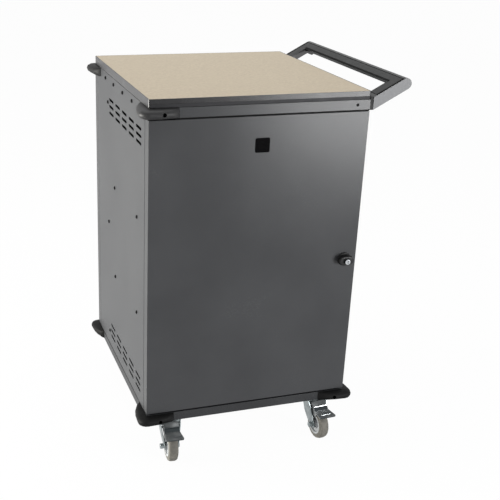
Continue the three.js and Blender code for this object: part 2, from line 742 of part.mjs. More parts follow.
function addDoor(prefix, turn) {
  const door = new THREE.Group();
  door.rotation.z = turn;
  cart.add(door);

  const face = -halfDepth;
  const rear = face + doorThickness;
  const pivotX = -halfWidth + pivotFromSide;
  const pivotY = face + pivotFromFace;
  const lockX = halfWidth - lockFromSide;
  const lockZ = (doorBottom + doorTop) / 2;

  const pan = box(-halfWidth, halfWidth, face, rear, doorBottom, doorTop);
  const hollow = box(
    -innerHalfWidth, innerHalfWidth, face + sheet, rear - sheet, doorBottom + sheet, doorTop - sheet);
  const mouth = box(
    -halfWidth + doorLip, halfWidth - doorLip, face + doorThickness / 2, rear + sheet, doorBottom + doorLip,
    doorTop - doorLip);
  const pivotHole = cylinder(
    'z', pivotPinRadius + pivotClearance, doorBottom - sheet, doorTop + sheet, pinFacets);
  pivotHole.translate(pivotX, pivotY, 0);
  const lockHole = cylinder('y', lockPlugRadius + lockClearance, face - sheet, face + 2 * sheet);
  lockHole.translate(lockX, 0, lockZ);
  addPiece(door, `${prefix}_door`, cut(pan, hollow, mouth, pivotHole, lockHole), 'paintedSteel');

  const washerTop = doorGap - pivotClearance;
  const lowerPin = turned([
    [0, 0], [pivotWasherRadius, 0], [pivotWasherRadius, washerTop], [pivotPinRadius, washerTop],
    [pivotPinRadius, doorGap + pivotPinLength], [0, doorGap + pivotPinLength],
  ], pinFacets);
  const upperPin = lowerPin.clone().rotateX(Math.PI);
  addPiece(door, `${prefix}_lower_hinge_pin`, lowerPin.translate(pivotX, pivotY, baseTop), 'zinc');
  addPiece(door, `${prefix}_upper_hinge_pin`, upperPin.translate(pivotX, pivotY, topRailBottom), 'zinc');

  // Lock pieces are turned about the z axis with their outer end up, then laid down to face forward
  const lay = (geometry) => geometry.rotateX(Math.PI / 2).translate(lockX, face, lockZ);
  const bore = lockPlugRadius + lockClearance;
  const roseTop = seam + lockRoseThickness;
  const rose = turned([
    [bore, seam], [lockRoseRadius, seam], [lockRoseRadius, roseTop - lockRoseChamfer],
    [lockRoseRadius - lockRoseChamfer, roseTop], [bore, roseTop], [bore, seam],
  ]);
  addPiece(door, `${prefix}_lock_rose`, lay(rose), 'blackPlastic');

  const knobBottom = roseTop + lockClearance;
  const knobTop = knobBottom + lockKnobThickness;
  const knobShape = stadium(0, 0, lockKnobLength, lockKnobWidth);
  const knobBlank = prism('z', knobShape, knobBottom + lockKnobBevel, knobTop - lockKnobBevel, {
    bevelEnabled: true,
    bevelThickness: lockKnobBevel,
    bevelSize: lockKnobBevel,
    bevelOffset: -lockKnobBevel,
    bevelSegments: 2,
  });
  const knobBore = cylinder('z', bore, -lockPlugReach, 2 * lockPlugReach);
  addPiece(door, `${prefix}_lock_knob`, lay(cut(knobBlank, knobBore)), 'blackPlastic');

  const jambRear = doorThickness + jambGap + sheet;
  const camFront = -(jambRear + lockClearance);
  const camRear = camFront - lockCamThickness;
  const plug = turned([
    [0, camRear - sheet], [lockSpigotRadius, camRear - sheet], [lockSpigotRadius, camFront + lockClearance],
    [lockPlugRadius, camFront + lockClearance], [lockPlugRadius, lockPlugReach - lockPlugChamfer],
    [lockPlugRadius - lockPlugChamfer, lockPlugReach], [0, lockPlugReach],
  ]);
  const keySlot = box(
    -lockKeySlotWidth / 2, lockKeySlotWidth / 2, -lockKeySlotHeight / 2, lockKeySlotHeight / 2,
    lockPlugReach - lockKeySlotDepth, 2 * lockPlugReach);
  addPiece(door, `${prefix}_lock_plug`, lay(cut(plug, keySlot)), 'chrome');

  const camShape = new THREE.Shape();
  camShape.absarc(0, 0, lockCamHeadRadius, 0, Math.PI);
  camShape.lineTo(-lockCamWidth / 2, -lockCamReach);
  camShape.lineTo(lockCamWidth / 2, -lockCamReach);
  camShape.closePath();
  const camBore = cylinder('z', lockSpigotRadius + lockClearance, 2 * camRear, 0);
  addPiece(door, `${prefix}_lock_cam`, lay(cut(prism('z', camShape, camRear, camFront), camBore)), 'zinc');
}

// A caster under its mounting face, with the wheel trailing towards the front

function addCaster(name, sideX, sideY, turn, braked) {
  const mounting = new THREE.Group();
  mounting.position.set(
    sideX * (halfWidth - casterFromSide), sideY * (halfDepth - casterFromFace), casterHeight);
  cart.add(mounting);
  const swivel = new THREE.Group();
  swivel.rotation.z = turn;
  mounting.add(swivel);

  const crownBottom = -forkTopDrop - forkCrownThickness;
  const headTop = crownBottom - swivelClearance;
  const headBottom = headTop - kingpinHeadThickness;
  const plate = box(
    -casterPlateLength / 2, casterPlateLength / 2, -casterPlateWidth / 2, casterPlateWidth / 2,
    -casterPlateThickness, 0);
  const raceBottom = -forkTopDrop + swivelClearance;
  const kingpin = turned([
    [0, headBottom], [kingpinHeadRadius - kingpinHeadChamfer, headBottom],
    [kingpinHeadRadius, headTop], [kingpinRadius, headTop], [kingpinRadius, raceBottom],
    [raceRadius, raceBottom], [raceRadius, -casterPlateThickness / 2], [0, -casterPlateThickness / 2],
  ]);
  addPiece(mounting, `${name}_plate`, fuse(plate, kingpin), 'zinc');

  const axleY = -wheelTrail;
  const axleZ = wheelRadius - casterHeight;
  const axleCentre = new THREE.Vector2(axleY, axleZ);
  const legInner = wheelWidth / 2 + forkSideGap;
  const legOuter = legInner + forkThickness;
  const lean = forkSplay / (-forkTopDrop - axleZ);
  const legInnerAt = (z) => legInner + lean * (z - axleZ);
  const legFront = new THREE.Vector2(-forkFrontReach, crownBottom);
  const legBow = new THREE.Vector2(forkRearReach, -forkBowDrop);
  const leg = new THREE.Shape();
  leg.moveTo(forkCrownHalfLength, -forkTopDrop);
  leg.lineTo(-forkCrownHalfLength, -forkTopDrop);
  leg.lineTo(legFront.x, legFront.y);
  leg.absarc(
    axleY, axleZ, forkBossRadius, touchAngle(axleCentre, forkBossRadius, legFront, 1),
    touchAngle(axleCentre, forkBossRadius, legBow, -1));
  leg.quadraticCurveTo(legBow.x, legBow.y, forkRearReach, crownBottom);
  leg.closePath();
  // The legs lean outwards from the axle to the top
  const legs = [[-legOuter, -legInner, -lean], [legInner, legOuter, lean]].map(([x0, x1, slope]) => {
    const upright = prism('x', leg, x0, x1).translate(0, 0, -axleZ);
    upright.applyMatrix4(new THREE.Matrix4().makeShear(0, 0, 0, 0, slope, 0));
    return upright.translate(0, 0, axleZ);
  });
  const crownHalfWidth = legInnerAt(crownBottom) + forkThickness / 2;
  const crownBlock = box(
    -crownHalfWidth, crownHalfWidth, -forkCrownHalfLength, forkCrownHalfLength, crownBottom, -forkTopDrop);
  const kingpinHole = cylinder('z', kingpinRadius + swivelClearance, 2 * crownBottom, 0);
  const nutEnd = legOuter + axleNutThickness;
  const headEnd = legOuter + axleHeadThickness;
  const axle = cylinder('x', axleRadius, -nutEnd, headEnd, pinFacets);
  const nuts = [
    cylinder('x', axleNutRadius, legOuter - forkThickness / 2, headEnd, nutFacets),
    cylinder('x', axleNutRadius, -nutEnd, -legOuter + forkThickness / 2, nutFacets),
  ];
  for (const round of [axle, ...nuts]) {
    round.translate(0, axleY, axleZ);
  }
  const forkPieces = [cut(crownBlock, kingpinHole), ...legs, axle, ...nuts];
  if (braked) {
    const earInner = wheelWidth / 2 + pedalEarGap;
    const pinRoot = legInnerAt(-pedalPivotDrop) + forkThickness / 2;
    const pinEnd = earInner - pedalPinOverhang;
    for (const [x0, x1] of [[pinEnd, pinRoot], [-pinRoot, -pinEnd]]) {
      forkPieces.push(
        cylinder('x', pedalPinRadius, x0, x1, pinFacets).translate(0, -pedalPivotForward, -pedalPivotDrop));
    }
    addPiece(swivel, `${name}_brake_pedal`, brakePedal(earInner), 'zinc');
  }
  addPiece(swivel, `${name}_fork`, fuse(...forkPieces), 'zinc');

  // Wheel pieces are turned about the z axis, then laid on the axle
  const lay = (geometry) => geometry.rotateY(Math.PI / 2).translate(0, axleY, axleZ);
  const hubRadius = wheelRadius - tyreDepth;
  const halfTyre = wheelWidth / 2;
  const crown = wheelRadius - tyreShoulder;
  const shoulderStep = tyreShoulder * (1 - Math.SQRT1_2);
  const tyre = turned([
    [hubRadius, -halfTyre], [crown, -halfTyre], [wheelRadius - shoulderStep, -halfTyre + shoulderStep],
    [wheelRadius, -halfTyre + tyreShoulder], [wheelRadius, halfTyre - tyreShoulder],
    [wheelRadius - shoulderStep, halfTyre - shoulderStep], [crown, halfTyre], [hubRadius, halfTyre],
    [hubRadius, -halfTyre],
  ], wheelFacets);
  addPiece(swivel, `${name}_tyre`, lay(tyre), 'greyTyre');

  const bore = axleRadius + axleClearance;
  const rim = hubRadius - seam;
  const dish = rim - hubRimDepth;
  const halfWeb = halfTyre - hubDish;
  const halfLand = legInnerAt(axleZ - hubLandRadius) - hubLandGap;
  const hub = turned([
    [bore, -halfLand], [hubLandRadius, -halfLand], [hubLandRadius, -halfWeb], [dish, -halfWeb],
    [dish, -halfTyre], [rim, -halfTyre], [rim, halfTyre], [dish, halfTyre], [dish, halfWeb],
    [hubLandRadius, halfWeb], [hubLandRadius, halfLand], [bore, halfLand], [bore, -halfLand],
  ], wheelFacets);
  addPiece(swivel, `${name}_hub`, lay(hub), 'greyPlastic');
}

// A pressed pedal over the wheel, hung by two ears on the pins of the fork: a sloping apron, a bead, a steep
// riser and a flat lip
function brakePedal(earInner) {
  const earOuter = earInner + pedalEarThickness;
  const pivot = new THREE.Vector2(-pedalPivotForward, -pedalPivotDrop);
  const root = new THREE.Vector2(-pedalRootForward, -pedalRootDrop);
  const bend = new THREE.Vector2(root.x - pedalRiserForward, root.y - pedalRiserDrop);
  const lipBottom = bend.y - pedalThickness;
  const apron = new THREE.Vector2(root.x + pedalApronRun, root.y + pedalApronRise);
  const riser = prism('x', polygon([
    [root.x, root.y], [bend.x, bend.y], [bend.x, lipBottom], [bend.x + pedalRiserWidth, lipBottom],
    [root.x + pedalRiserWidth, root.y - pedalThickness], [apron.x, apron.y - pedalThickness],
    [apron.x, apron.y],
  ]), -pedalHalfWidth, pedalHalfWidth);
  const bead = cylinder('x', pedalBeadRadius, -pedalHalfWidth, pedalHalfWidth, pinFacets);
  bead.translate(0, root.x, root.y);

  const tipHalfWidth = pedalHalfWidth + pedalFlare;
  const heel = bend.x + pedalRiserWidth / 2;
  const tip = bend.x - pedalLipLength;
  const plan = new THREE.Shape();
  plan.moveTo(pedalHalfWidth, heel);
  plan.lineTo(-pedalHalfWidth, heel);
  const cornerX = tipHalfWidth - pedalTipRadius;
  const cornerY = tip + pedalTipRadius;
  plan.absarc(-cornerX, cornerY, pedalTipRadius, Math.PI, 1.5 * Math.PI);
  plan.absarc(cornerX, cornerY, pedalTipRadius, 1.5 * Math.PI, 2 * Math.PI);
  plan.closePath();
  const lip = prism('z', plan, lipBottom, bend.y);

  const earFront = new THREE.Vector2(bend.x - pedalEarLength, bend.y);
  const earHeel = new THREE.Vector2(earFront.x + pedalEarSetback, earFront.y - pedalEarDepth);
  const ear = new THREE.Shape();
  ear.moveTo(root.x, root.y);
  ear.lineTo(bend.x, bend.y);
  ear.lineTo(earFront.x, earFront.y);
  ear.lineTo(earHeel.x, earHeel.y);
  ear.absarc(
    pivot.x, pivot.y, pedalEarRadius, touchAngle(pivot, pedalEarRadius, earHeel, 1),
    touchAngle(pivot, pedalEarRadius, root, -1));
  ear.closePath();
  const ears = [prism('x', ear, earInner, earOuter), prism('x', ear, -earOuter, -earInner)];
  const pinHole = cylinder('x', pedalPinRadius + pivotClearance, -2 * earOuter, 2 * earOuter, pinFacets);
  pinHole.translate(0, pivot.x, pivot.y);
  return cut(fuse(riser, bead, lip, ...ears), pinHole);
}

addBase();
addTopPan();
addSidePanels();
addWorktop();
addPartition();
addShelf('upper_shelf', levels.upper);
addShelf('lower_shelf', levels.lower);
for (const [name, level] of Object.entries(levels)) {
  addDividerRack(`${name}_divider_rack`, level);
  addPowerStrip(`${name}_power_strip`, level);
}
addBumpers();
addHandle();
addDoor('front', 0);
addDoor('rear', Math.PI);
addCaster('caster_front_left', -1, -1, frontLeftSwivel, true);
addCaster('caster_front_right', 1, -1, frontRightSwivel, true);
addCaster('caster_rear_left', -1, 1, rearSwivel, false);
addCaster('caster_rear_right', 1, 1, rearSwivel, false);

// The origin is on the floor, under the middle of the cart's overall box
const bounds = new THREE.Box3().setFromObject(cart, true);
const middle = bounds.getCenter(new THREE.Vector3());
cart.position.set(-middle.x, -middle.y, -bounds.min.z);

export default cart;
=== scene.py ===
"""Looks of the laptop charging cart: finishes, fittings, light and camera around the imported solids.

Metres, +Z up. The front door faces -Y and the push handle is at +X.
"""

import json
import math

import bpy
from mathutils import Matrix, Vector
from mathutils.geometry import tessellate_polygon


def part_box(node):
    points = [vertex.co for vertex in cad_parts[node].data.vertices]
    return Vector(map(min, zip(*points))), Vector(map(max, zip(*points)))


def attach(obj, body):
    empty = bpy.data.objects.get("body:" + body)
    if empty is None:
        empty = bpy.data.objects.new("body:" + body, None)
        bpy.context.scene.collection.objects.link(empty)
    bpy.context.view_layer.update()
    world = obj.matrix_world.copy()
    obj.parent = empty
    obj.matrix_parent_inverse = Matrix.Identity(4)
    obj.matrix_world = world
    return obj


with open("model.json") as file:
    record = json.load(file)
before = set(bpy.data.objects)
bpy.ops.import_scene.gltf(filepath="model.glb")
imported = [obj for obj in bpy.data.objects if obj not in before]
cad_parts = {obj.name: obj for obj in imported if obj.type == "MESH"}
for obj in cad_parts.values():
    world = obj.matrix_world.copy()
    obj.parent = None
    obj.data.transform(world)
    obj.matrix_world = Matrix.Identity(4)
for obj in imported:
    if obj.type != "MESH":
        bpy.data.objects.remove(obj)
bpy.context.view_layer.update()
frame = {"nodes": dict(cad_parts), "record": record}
nodes = frame["nodes"]
MM = 0.001

# Planes of the cabinet, taken from the solids
board_low, board_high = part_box("worktop_board")
door_low, door_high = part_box("front_door")
CENTRE = Vector(((door_low.x + door_high.x) / 2, (board_low.y + board_high.y) / 2, 0))
LEFT, RIGHT = door_low.x, door_high.x
FRONT = door_low.y
RAIL_MIDDLE = (door_high.z + 4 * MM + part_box("worktop_board")[0].z) / 2
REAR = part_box("rear_door")[1].y
BAND_BOTTOM, BAND_TOP = (corner.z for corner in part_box("worktop_edge_band"))
# Heights on the edge band where its painted foot shade is full and where it has faded out
BAND_FOOT = BAND_BOTTOM + 0.30 * (BAND_TOP - BAND_BOTTOM)
BAND_WAIST = BAND_BOTTOM + 0.58 * (BAND_TOP - BAND_BOTTOM)

# Planes of the push handle: the upper face of its cover rises from the cabinet to the grip
cover_low, cover_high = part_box("handle_cover")
HANDLE_ANGLE = math.radians(28)
COVER_THICKNESS = 4 * MM
COVER_ROOT = Vector((cover_low.x, 0, cover_low.z + COVER_THICKNESS * math.cos(HANDLE_ANGLE)))
COVER_RUN = (cover_high.z - COVER_ROOT.z) / math.sin(HANDLE_ANGLE)
GRIP_COVER_WIDTH = 22.45 * MM
ARM_COVER_WIDTH = 34.2 * MM
# x of the grip's inner edge; it places the painted shade in the handle's inner corners
GRIP_CORNER = COVER_ROOT.x + (COVER_RUN - GRIP_COVER_WIDTH) * math.cos(HANDLE_ANGLE)

# Camera: its place from the middle of the cabinet, its axes, and its lens in pixels of the square frame
FRAME_PIXELS = 500
FOCAL_PIXELS = 926.63
CENTRE_SHIFT_PIXELS = (-50.0, 20.0)
CAMERA_PLACE = Vector((-0.7729, -2.1917, 1.3391))
CAMERA_RIGHT = Vector((0.95229, -0.30392, 0.02791))
CAMERA_BACK = Vector((-0.29124, -0.87762, 0.38073))
SENSOR_WIDTH = 36


def add_camera():
    lens = bpy.data.cameras.new("camera")
    lens.sensor_width = SENSOR_WIDTH
    lens.lens = FOCAL_PIXELS / FRAME_PIXELS * SENSOR_WIDTH
    lens.shift_x = -CENTRE_SHIFT_PIXELS[0] / FRAME_PIXELS
    lens.shift_y = CENTRE_SHIFT_PIXELS[1] / FRAME_PIXELS
    camera = bpy.data.objects.new("camera", lens)
    bpy.context.scene.collection.objects.link(camera)
    back = CAMERA_BACK.normalized()
    up = back.cross(CAMERA_RIGHT).normalized()
    right = up.cross(back)
    turn = Matrix((right, up, back)).transposed()
    camera.matrix_world = Matrix.Translation(CENTRE + CAMERA_PLACE) @ turn.to_4x4()
    bpy.context.scene.camera = camera


add_camera()


# Shader maths

class Shade:
    """A value in a node tree. Arithmetic on it adds Math nodes."""

    def __init__(self, nodes, socket):
        self.nodes = nodes
        self.socket = socket

    def math(self, operation, first, second):
        return self.nodes.node("ShaderNodeMath", {"operation": operation}, {0: first, 1: second})

    def __add__(self, other):
        return self.math("ADD", self, other)

    __radd__ = __add__

    def __sub__(self, other):
        return self.math("SUBTRACT", self, other)

    def __rsub__(self, other):
        return self.math("SUBTRACT", other, self)

    def __mul__(self, other):
        return self.math("MULTIPLY", self, other)

    __rmul__ = __mul__

    def __pow__(self, other):
        return self.math("POWER", self, other)


class Nodes:
    """Adds nodes to one node tree."""

    def __init__(self, tree):
        self.tree = tree

    def node(self, kind, settings=None, inputs=None, output=0):
        made = self.tree.nodes.new(kind)
        for name, value in (settings or {}).items():
            if name == "stops":
                self.set_stops(made.color_ramp.elements, value)
            else:
                setattr(made, name, value)
        self.join(made, inputs or {})
        return Shade(self, made.outputs[output])

    @staticmethod
    def set_stops(elements, stops):
        while len(elements) < len(stops):
            elements.new(1.0)
        for element, (position, tone) in zip(elements, stops):
            element.position = position
            element.color = tone

    def join(self, node, inputs):
        for name, value in inputs.items():
            if isinstance(value, Shade):
                self.tree.links.new(value.socket, node.inputs[name])
            else:
                node.inputs[name].default_value = value


class Finish(Nodes):
    """A procedural material around one Principled shader, laid out in the object's own metres."""

    def __init__(self, name, **constants):
        self.material = bpy.data.materials.new(name)
        self.material.use_nodes = True
        super().__init__(self.material.node_tree)
        self.shader = self.tree.nodes["Principled BSDF"]
        self.place = self.node("ShaderNodeTexCoord", output="Object")
        self.feed(**constants)

    def surface(self, kind, axis):
        """One part of the Position of the surface, or of the direction of its Normal."""
        vector = self.node("ShaderNodeNewGeometry", output=kind)
        return self.node("ShaderNodeSeparateXYZ", {}, {"Vector": vector}, output=axis)

    def feed(self, **sockets):
        self.join(self.shader, {name.replace("_", " "): value for name, value in sockets.items()})

    def stretched(self, scale):
        return self.node("ShaderNodeMapping", {}, {"Vector": self.place, "Scale": scale})

    def noise(self, scale, detail=2.0, place=None):
        return self.node("ShaderNodeTexNoise", {}, {"Vector": place or self.place, "Scale": scale, "Detail": detail})

    def ramp(self, value, low, high):
        """0 below low, 1 above high, and smooth between them."""
        return self.node(
            "ShaderNodeMapRange", {"interpolation_type": "SMOOTHSTEP"},
            {"Value": value, "From Min": low, "From Max": high})

    def flatness(self):
        """0 where the surface is seen face on, 1 where it is seen at a flat angle."""
        return self.ramp(self.node("ShaderNodeLayerWeight", {}, {"Blend": 0.5}, output="Facing"), 0.22, 0.55)

    def mix(self, share, first, second):
        return self.node(
            "ShaderNodeMix", {"data_type": "RGBA"}, {0: share, 6: first, 7: second}, output=2)

    def bump(self, height, depth, strength=1.0):
        self.feed(Normal=self.node(
            "ShaderNodeBump", {}, {"Height": height, "Distance": depth, "Strength": strength}))


def tone(code):
    """A linear colour from a hex code in display values."""
    parts = [int(code[i:i + 2], 16) / 255 for i in (1, 3, 5)]
    return (*[p / 12.92 if p <= 0.04045 else ((p + 0.055) / 1.055) ** 2.4 for p in parts], 1.0)


# Finishes

def powder_coat(name, dark, light, roughness):
    """Baked paint on sheet steel: a fine orange peel that dulls flat views, faint clouding, a little dust."""
    coat = Finish(name, IOR=1.5, Specular_IOR_Level=0.22)
    cloud = coat.noise(5.0, 3.0)
    peel = coat.noise(520.0, 2.0)
    speck = coat.ramp(coat.noise(1500.0, 1.0), 0.62, 0.74)
    body = coat.mix(coat.ramp(cloud, 0.3, 0.7), tone(dark), tone(light))
    coat.feed(Base_Color=coat.mix(speck * 0.10, body, tone("#8b8c8e")))
    coat.feed(Roughness=roughness + 0.10 * (cloud - 0.5) + 0.06 * (peel - 0.5) + 0.21 * coat.flatness())
    coat.bump(peel, 0.00004, 0.6)
    return coat.material


def beige_laminate():
    """High pressure laminate: a beige print of soft flecks under a matt film; the board's edges carry painted light and
    shade, pale on the ends and near black on the front and rear.
    """
    sheet = Finish("beige_laminate", IOR=1.5, Specular_IOR_Level=0.2)
    fleck = sheet.noise(150.0, 4.0, sheet.stretched((1.0, 2.2, 1.0)))
    cloud = sheet.noise(7.0, 3.0)
    fine = sheet.noise(1400.0, 1.0)
    body = sheet.mix(sheet.ramp(fleck, 0.36, 0.66), tone("#bfb098"), tone("#cdbfa6"))
    print_face = sheet.mix(sheet.ramp(cloud, 0.35, 0.7) * 0.35, body, tone("#c6b89f"))
    # Board edges turned to ±X are painted pale and those turned to ±Y near black: painted light and shade seen through
    # the slit under the edge band
    sideways = sheet.surface("Normal", "X")
    painted_edge_light_and_shade = sheet.mix(sheet.ramp(sideways * sideways, 0.4, 0.7), tone("#17130f"), tone("#c8c4ba"))
    sheet.feed(Base_Color=sheet.mix(sheet.ramp(sheet.surface("Normal", "Z"), 0.4, 0.7), painted_edge_light_and_shade, print_face))
    sheet.feed(Roughness=0.46 + 0.12 * (fine - 0.5))
    sheet.bump(fine, 0.00003, 0.5)
    return sheet.material


def moulded(name, dark, light, roughness, grain_scale, grain_depth, gloss=0.5):
    """Moulded plastic or rubber with an even grain and rubbed patches."""
    skin = Finish(name, IOR=1.5, Specular_IOR_Level=gloss)
    grain = skin.noise(grain_scale, 3.0)
    rub = skin.ramp(skin.noise(28.0, 4.0), 0.45, 0.75)
    skin.feed(Base_Color=skin.mix(rub * 0.6 + 0.4 * grain, tone(dark), tone(light)))
    skin.feed(Roughness=roughness + 0.16 * (grain - 0.5) - 0.08 * rub)
    skin.bump(grain, grain_depth, 0.7)
    return skin.material


def wheel_tread():
    """Thermoplastic rubber: mottled by use, with rolling scuffs."""
    tread = Finish("wheel_tread", IOR=1.5)
    mottle = tread.noise(60.0, 5.0)
    scuff = tread.ramp(tread.noise(350.0, 3.0), 0.5, 0.72)
    body = tread.mix(tread.ramp(mottle, 0.3, 0.7), tone("#57554f"), tone("#6f6c65"))
    tread.feed(Base_Color=tread.mix(scuff * 0.3, body, tone("#7e7b74")))
    tread.feed(Roughness=0.68 + 0.2 * (mottle - 0.5))
    tread.bump(scuff + mottle, 0.00012, 0.6)
    return tread.material


def zinc_plate():
    """Bright zinc on pressed steel: clouded by the bath, with drawing lines and a cool cast."""
    plate = Finish("zinc_plate", Metallic=1.0)
    cloud = plate.noise(45.0, 4.0)
    lines = plate.noise(420.0, 2.0, plate.stretched((1.0, 1.0, 0.06)))
    plate.feed(Base_Color=plate.mix(plate.ramp(cloud, 0.3, 0.7), tone("#737b7d"), tone("#9ca3a4")))
    plate.feed(Roughness=0.32 + 0.22 * (cloud - 0.4) + 0.10 * (lines - 0.5))
    plate.bump(lines, 0.00003, 0.5)
    return plate.material


def pedal_zinc():
    """Zinc on the brake pedals: worn bright, with painted shade darkening the steep riser."""
    plate = Finish("pedal_zinc")
    cloud = plate.noise(45.0, 4.0)
    scratch = plate.noise(900.0, 2.0, plate.stretched((0.15, 1.0, 1.0)))
    # The steep riser, turned to -Y, is painted dark and more metallic: painted shade
    riser = plate.ramp(0.0 - plate.surface("Normal", "Y"), 0.55, 0.68)
    worn = plate.mix(plate.ramp(cloud, 0.3, 0.7), tone("#6c7072"), tone("#8a8d8e"))
    plate.feed(Base_Color=plate.mix(riser, worn, tone("#33383a")))
    plate.feed(Metallic=0.45 + 0.4 * riser)
    plate.feed(Roughness=0.40 + 0.20 * (cloud - 0.4) + 0.12 * (scratch - 0.5))
    plate.bump(scratch, 0.00003, 0.5)
    return plate.material


def worn_zinc():
    """Zinc rubbed bright by shoes, with fine scratches."""
    metal = Finish("worn_zinc", Metallic=1.0)
    scratch = metal.noise(700.0, 3.0)
    metal.feed(Base_Color=metal.mix(metal.ramp(scratch, 0.35, 0.7), tone("#e2e6e7"), tone("#c4c9cb")))
    metal.feed(Roughness=0.16 + 0.16 * scratch)
    metal.bump(scratch, 0.00001, 0.2)
    return metal.material


def polished_chrome():
    """Chrome with finger smears."""
    metal = Finish("polished_chrome", Metallic=1.0)
    smear = metal.noise(120.0, 4.0)
    metal.feed(Base_Color=metal.mix(metal.ramp(smear, 0.35, 0.7), tone("#b9bcbf"), tone("#a6a9ac")))
    metal.feed(Roughness=0.12 + 0.14 * smear)
    return metal.material


def badge_black():
    """Satin black plate with fine swirl marks."""
    plate = Finish("badge_black", IOR=1.5, Specular_IOR_Level=0.02)
    swirl = plate.noise(240.0, 5.0)
    plate.feed(Base_Color=plate.mix(plate.ramp(swirl, 0.4, 0.7), tone("#040405"), tone("#0a0a0b")))
    plate.feed(Roughness=0.55 + 0.16 * (swirl - 0.5))
    return plate.material


def handle_paint():
    """Handle shell: dark paint on the bar, a painted highlight on the faces of the arms that turn to ±Y, and painted
    shade in the inner corners by the grip.
    """
    shell = Finish("handle_paint", IOR=1.5, Specular_IOR_Level=0.35)
    cloud = shell.noise(8.0, 3.0)
    peel = shell.noise(700.0, 2.0)
    across = shell.surface("Normal", "Y")
    # Faces of the arms turned to ±Y take the paler tone: a painted highlight
    lit_arm_faces = shell.ramp(across * across, 0.5, 0.8)
    # Inward faces close to the grip turn near black: painted shade in the handle's inner corners
    inward = shell.ramp((CENTRE.y - shell.surface("Position", "Y")) * across, 0.05, 0.15)
    corner = inward * shell.ramp(shell.surface("Position", "X"), GRIP_CORNER - 0.07, GRIP_CORNER - 0.02)
    bar = shell.mix(cloud, tone("#2c2d2d"), tone("#373838"))
    # Paler tone of the painted highlight on the arm faces
    end = shell.mix(cloud, tone("#67686a"), tone("#737476"))
    shell.feed(Base_Color=shell.mix(corner, shell.mix(lit_arm_faces, bar, end), tone("#0e0e0f")))
    shell.feed(Roughness=0.46 + 0.10 * (cloud - 0.5) + 0.06 * (peel - 0.5))
    shell.bump(peel, 0.00004, 0.6)
    return shell.material


def edge_band():
    """Moulded worktop edge: smooth, with painted light on its side runs and painted shade along the foot of the front
    and rear runs.
    """
    band = Finish("edge_band", IOR=1.5, Specular_IOR_Level=0.29)
    grain = band.noise(900.0, 3.0)
    rub = band.ramp(band.noise(28.0, 4.0), 0.45, 0.75)
    height = band.surface("Position", "Z")
    across = band.surface("Normal", "Y")
    # Faces turned to ±Y darken towards the foot of the band: painted shade under its lower edge
    foot = band.ramp(across * across, 0.4, 0.7) * (1.0 - band.ramp(height, BAND_FOOT, BAND_WAIST))
    # Side runs turned to ±X take a paler tone: painted light
    sideways = band.surface("Normal", "X")
    lit_side_runs = band.ramp(sideways * sideways, 0.4, 0.7)
    body = band.mix(rub * 0.6 + 0.4 * grain, tone("#1b1b1d"), tone("#212124"))
    runs = band.mix(lit_side_runs, body, tone("#353537"))
    band.feed(Base_Color=band.mix(foot, runs, tone("#0f0f10")))
    band.feed(Roughness=0.27 + 0.12 * (grain - 0.5) - 0.05 * rub + 0.12 * band.flatness())
    band.bump(grain, 0.00004, 0.7)
    return band.material


FINISHES = {
    "painted_steel": powder_coat("cabinet_paint", "#393a3c", "#3f4042", 0.25),
    "inner_steel": powder_coat("inner_paint", "#4a4b4e", "#515255", 0.5),
    "laminate": beige_laminate(),
    "edge_band": edge_band(),
    "black_rubber": moulded("bumper_rubber", "#1f1f20", "#2b2b2c", 0.52, 1100.0, 0.00006, 0.3),
    "handle_paint": handle_paint(),
    "handle_cover": moulded("handle_cover", "#212222", "#2b2c2c", 0.56, 1300.0, 0.00006, 0.3),
    "black_plastic": moulded("black_plastic", "#0e0e0f", "#171718", 0.42, 1000.0, 0.00005, 0.22),
    "grey_plastic": moulded("grey_plastic", "#808385", "#8f9193", 0.5, 800.0, 0.00004),
    "grey_tyre": wheel_tread(),
    "zinc": zinc_plate(),
    "chrome": polished_chrome(),
}
# Finishes of nodes that differ from the others of their slot, by a part of the node's name
OWN_FINISHES = {
    # Darker copy of the cabinet paint on the base: painted shade low on the cabinet
    "base_pan": powder_coat("shaded_base_paint", "#2c2d2f", "#323335", 0.27),
    # Darker copy of the bumper rubber for the bumpers at the floor: painted shade
    "base_bumper": moulded("shaded_floor_bumper_rubber", "#060606", "#0e0e0f", 0.6, 1100.0, 0.00006, 0.14),
    # Darker copy of the bumper rubber for the rear top bumper: painted shade
    "top_bumper_rear": moulded("shaded_rear_bumper_rubber", "#121213", "#1c1c1d", 0.56, 1100.0, 0.00006, 0.18),
    # Near black brackets at the root of the handle: painted shade between the rail and the arms
    "handle_bracket": moulded("handle_bracket", "#161617", "#202021", 0.6, 1300.0, 0.00006, 0.25),
    "brake_pedal": pedal_zinc(),
    "hinge_pin": moulded("blackened_pin", "#141415", "#1e1e1f", 0.5, 900.0, 0.00003, 0.2),
    "_hub": moulded("wheel_hub", "#a3a6a8", "#b3b5b7", 0.5, 800.0, 0.00004),
}
BADGE_FINISH = badge_black()
WORN_ZINC = worn_zinc()
DARK_SCREW = moulded("dark_screw", "#060607", "#0e0e0f", 0.55, 700.0, 0.00003, 0.06)
# Near black rubber for the rail plug, and for thin strips laid in gaps and grooves as painted shade
DARK_RUBBER_AND_SHADE_STRIPS = moulded("dark_rubber_and_shade_strips", "#050505", "#0b0b0b", 0.7, 1300.0, 0.00004, 0.08)
# Near black strips at the foot of the edge band: painted shade
FOOT_SHADE_STRIPS = moulded("foot_shade_strips", "#1c1c1f", "#242428", 0.5, 1300.0, 0.00004, 0.2)


def finish_of(node, slot):
    for part, finish in OWN_FINISHES.items():
        if part in node:
            return finish
    return FINISHES[slot]


# Softened edges on the solids

WELD_DISTANCE = 0.01 * MM
BEVEL_ANGLE = math.radians(33)
SHADE_ANGLE = math.radians(50)
FLAT_ANGLE = math.radians(0.5)


